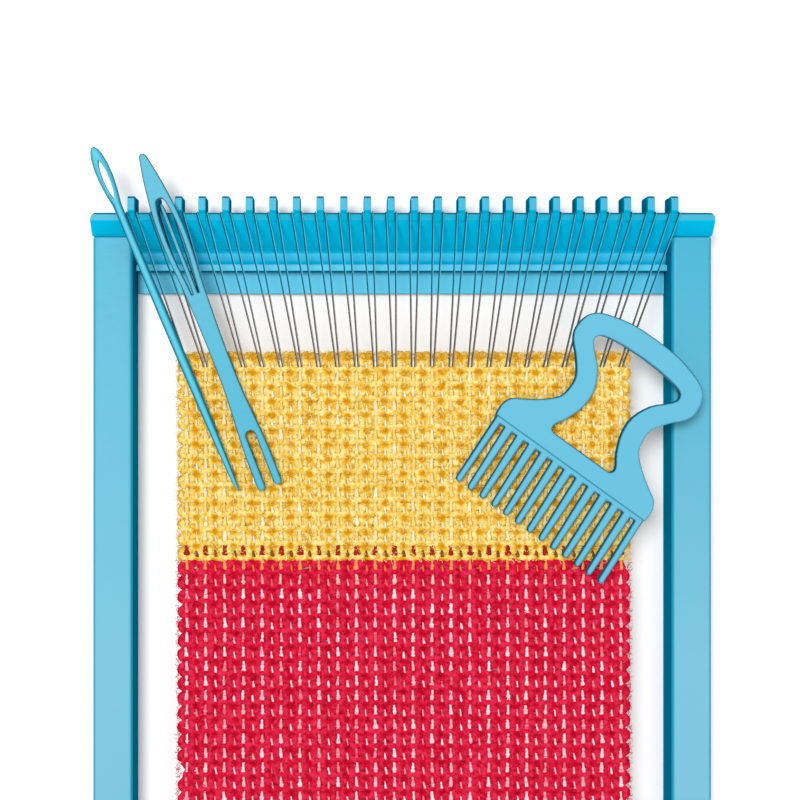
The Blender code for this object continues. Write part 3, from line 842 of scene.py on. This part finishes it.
def dye_at(y, kind, faint):
    """The ends are pale, tinted by the weft they lie in, and darker or orange beside the change."""
    cream, blush = np.array(srgb(255, 252, 226)), np.array(srgb(255, 228, 234))
    above, beyond = np.array(srgb(170, 36, 20)), np.array(srgb(255, 156, 92))
    if kind == "middle":
        above, beyond = np.array(srgb(140, 84, 16)), np.array(srgb(246, 116, 60))
    rows = ((FELL_Y - y) / PICK)[:, None]
    faint = np.clip(faint, 0, 1)[:, None]
    upper = cream * (1 - faint) + np.array(srgb(250, 214, 110)) * faint
    lower = blush * (1 - faint) + np.array(srgb(236, 70, 100)) * faint
    made = np.where(rows < YELLOW_PICKS, upper, lower)
    made = np.where((rows > YELLOW_PICKS - 2.4) & (rows < YELLOW_PICKS - 0.4), above, made)
    made = np.where((rows >= YELLOW_PICKS - 0.4) & (rows < YELLOW_PICKS + 1.6), beyond, made)
    near = (rows >= YELLOW_PICKS + 1.6) & (rows < YELLOW_PICKS + 3.2)
    return np.where(near, (beyond + 2 * made) / 3, made)


def make_ends(kind, material):
    """All the pale ends of one kind, as one piece."""
    rng = np.random.default_rng(31 if kind == "pair" else 32)
    if kind == "pair":
        places = [column_x(i) for i in range(PEG_COUNT)]
    else:
        places = [column_x(i + 0.5) for i in range(PEG_COUNT - 1)]
    lines, widths, faints = zip(*[pale_end(x, kind, rng) for x in places])
    heights = [np.full(len(line), 0.26 * MM) for line in lines]
    made, points = tubes("pale_ends_" + kind, lines, widths, heights, END_SIDES, material)
    layer = made.data.attributes.new("dye", "FLOAT_COLOR", "POINT")
    faint = np.repeat(np.concatenate(faints), END_SIDES)
    layer.data.foreach_set("color", dye_at(points[:, 1], kind, faint).astype(np.float32).reshape(-1))
    return made


def hairpin(x, edge_y, outwards, first_side):
    """The thread's turn round one peg: over the ridge, down the outer wall, under the peg and back."""
    clear = THREAD_RADIUS + 0.1 * MM
    side_x = PEG_WIDTH / 2 + clear
    over_z = RIDGE_Z + THREAD_RADIUS + 0.1 * MM
    under_z = PEG_BOTTOM_Z - clear
    wall_y = edge_y + outwards * 0.3 * MM
    leg = [
        (side_x, edge_y - outwards * 0.9 * MM, over_z),
        (side_x, wall_y, over_z - 1.2 * MM),
        (side_x, wall_y, under_z + 0.7 * MM),
        (side_x - 0.7 * MM, wall_y, under_z),
    ]
    down = [(x + first_side * dx, y, z) for dx, y, z in leg]
    up = [(x - first_side * dx, y, z) for dx, y, z in reversed(leg)]
    return down + up


def warp_route():
    """The thread's whole way, laced from the first foot peg to the last."""
    inside_z = WEAVE_Z - 1.3 * MM
    top_z = CLOTH_TOP_Z - 0.1 * MM

    def leg(x, upwards):
        way = [
            (x, FELL_Y - 6.2 * MM, top_z),
            (x, FELL_Y - 7.6 * MM, inside_z),
            (x, CLOTH_END_Y + 3 * MM, inside_z),
            (x, CLOTH_END_Y, WEAVE_Z),
        ]
        return way[::-1] if upwards else way

    first = hairpin(peg_x(0) - 0.6 * MM, FOOT_EDGE_Y, -1, -1)
    route = list(reversed(first[:4]))
    for i in range(PEG_COUNT):
        route += leg(column_x(i) - PAIR_HALF, True)
        route += hairpin(peg_x(i), HEAD_EDGE_Y, 1, -1)
        route += leg(column_x(i) + PAIR_HALF, False)
        turn = hairpin(peg_x(i), FOOT_EDGE_Y, -1, -1)
        route += turn if i < PEG_COUNT - 1 else turn[:5]
    return route


def make_warp(material):
    """Swept with an eight-sided ring, half as thick down the outer walls and under the pegs."""
    curve = bpy.data.curves.new("warp_lacing", "CURVE")
    curve.dimensions = "3D"
    curve.bevel_depth = THREAD_RADIUS
    curve.bevel_resolution = 2
    curve.use_fill_caps = True
    route = warp_route()
    spline = curve.splines.new("POLY")
    spline.points.add(len(route) - 1)
    for point, place in zip(spline.points, route):
        point.co = (*place, 1)
        beyond = not FOOT_EDGE_Y < place[1] < HEAD_EDGE_Y
        point.radius = 0.5 if beyond and place[2] < RIDGE_Z - 0.3 * MM else 1
    swept = bpy.data.objects.new("warp_lacing", curve)
    bpy.context.scene.collection.objects.link(swept)
    graph = bpy.context.evaluated_depsgraph_get()
    mesh = bpy.data.meshes.new_from_object(swept.evaluated_get(graph), depsgraph=graph)
    bpy.data.objects.remove(swept)
    mesh.materials.clear()
    mesh.materials.append(material)
    made = bpy.data.objects.new("warp_lacing", mesh)
    bpy.context.scene.collection.objects.link(made)
    return made


def fuzz(name, low_y, high_y, count, material, seed, fell=False):
    """Stray fibres curling off the yarn, thickest at the selvedges and at the fell."""
    rng = np.random.default_rng(seed)
    lines, steps, sides = [], 6, 3
    for _ in range(count):
        edge = rng.random()
        if edge < 0.35:
            side = rng.choice((-1, 1))
            x = COLUMN_SHIFT + side * (HALF_CLOTH - 0.9 * MM - rng.random() * 1.2 * MM)
            y = low_y + rng.random() * (high_y - low_y)
        elif edge < 0.6 and fell:
            side = 0
            x = (rng.random() * 2 - 1) * (HALF_CLOTH - 2 * MM)
            y = high_y - 0.4 * MM - rng.random() * 1.2 * MM
        else:
            side = 0
            x = (rng.random() * 2 - 1) * (HALF_CLOTH - 3 * MM)
            y = low_y + rng.random() * (high_y - low_y)
        heading = rng.random() * 2 * np.pi
        if side:
            heading = (0 if side > 0 else np.pi) + rng.normal(0, 0.9)
        elif edge < 0.6 and fell:
            heading = np.pi / 2 + rng.normal(0, 1.1)
        bend = rng.normal(0, 0.55)
        point = np.array([x, y, WEAVE_Z + 0.75 * MM])
        line = [point]
        for j in range(steps - 1):
            direction = np.array([np.cos(heading), np.sin(heading), 0.22 - 0.1 * j])
            point = point + direction * (0.28 + 0.2 * rng.random()) * MM
            point[2] = min(point[2], CLOTH_TOP_Z + 0.1 * MM)
            heading += bend
            line.append(point)
        lines.append(np.array(line))
    widths = [np.full(steps, 0.085 * MM)] * count
    made = tubes(name, lines, widths, widths, sides, material)[0]
    set_tone(made, np.repeat(0.15 + 0.5 * rng.random(count), steps * sides))
    return made


def strands(name, low_y, high_y, count, material, seed):
    """Loose fibres lying across the yarn, most of them near its own direction."""
    rng = np.random.default_rng(seed)
    lines, steps, sides = [], 5, 4
    for _ in range(count):
        x = (rng.random() * 2 - 1) * (HALF_CLOTH - 2 * MM) + COLUMN_SHIFT
        y = low_y + rng.random() * (high_y - low_y - 1 * MM)
        heading, bend = rng.normal(0, 0.75), rng.normal(0, 0.5)
        reach = (0.3 + 0.25 * rng.random()) * MM
        line = []
        for j in range(steps):
            rise = 0.64 + 0.26 * math.sin(math.pi * j / (steps - 1)) + rng.normal(0, 0.02)
            line.append((x, y, WEAVE_Z + rise * MM))
            x, y = x + reach * math.cos(heading), y + reach * math.sin(heading)
            heading += bend
        lines.append(np.array(line))
    widths = [np.full(steps, size * MM) for size in 0.1 + 0.08 * rng.random(count)]
    made = tubes(name, lines, widths, widths, sides, material)[0]
    set_tone(made, np.repeat(rng.random(count) * 0.8 - 0.1, steps * sides))
    return made


def make_cloth():
    yellow = yarn("yellow_yarn_skin", srgb(244, 197, 70), srgb(218, 152, 12), srgb(254, 234, 156))
    red = yarn("red_yarn_skin", srgb(209, 8, 48), srgb(166, 4, 34), srgb(230, 44, 82))
    pale = end_material()
    half = YELLOW_PICKS + RED_PICKS // 2
    change_y = FELL_Y - YELLOW_PICKS * PICK
    upper = weft("yellow_cloth", 0, YELLOW_PICKS, yellow, seed=11, depth=1.0)
    lower = weft("red_cloth_upper", YELLOW_PICKS, half, red, seed=12, depth=0.35)
    lowest = weft("red_cloth_lower", half, YELLOW_PICKS + RED_PICKS, red, seed=13, depth=0.35)
    declare(upper, "yellow_weft", "frame")
    declare(lower, "red_weft", "frame")
    declare(lowest, "red_weft", "frame")
    loose = {
        "yellow_yarn": [
            fuzz("yellow_fuzz", change_y, FELL_Y, 2600, yellow, seed=21, fell=True),
            strands("yellow_strands", change_y, FELL_Y, STRAND_COUNT, yellow, seed=23),
        ],
        "red_yarn": [
            fuzz("red_fuzz", CLOTH_END_Y, change_y, 3400, red, seed=22),
            strands("red_strands", CLOTH_END_Y, change_y, STRAND_COUNT, red, seed=24),
        ],
        "warp_cotton": [make_ends("pair", pale), make_ends("middle", pale)],
    }
    for slot, pieces in loose.items():
        for piece in pieces:
            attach(piece, "frame")
    warp = make_warp(thread_material())
    declare(warp, "warp_thread", "frame")


def main():
    make_camera()
    make_studio()
    make_rigid()
    make_cloth()


main()
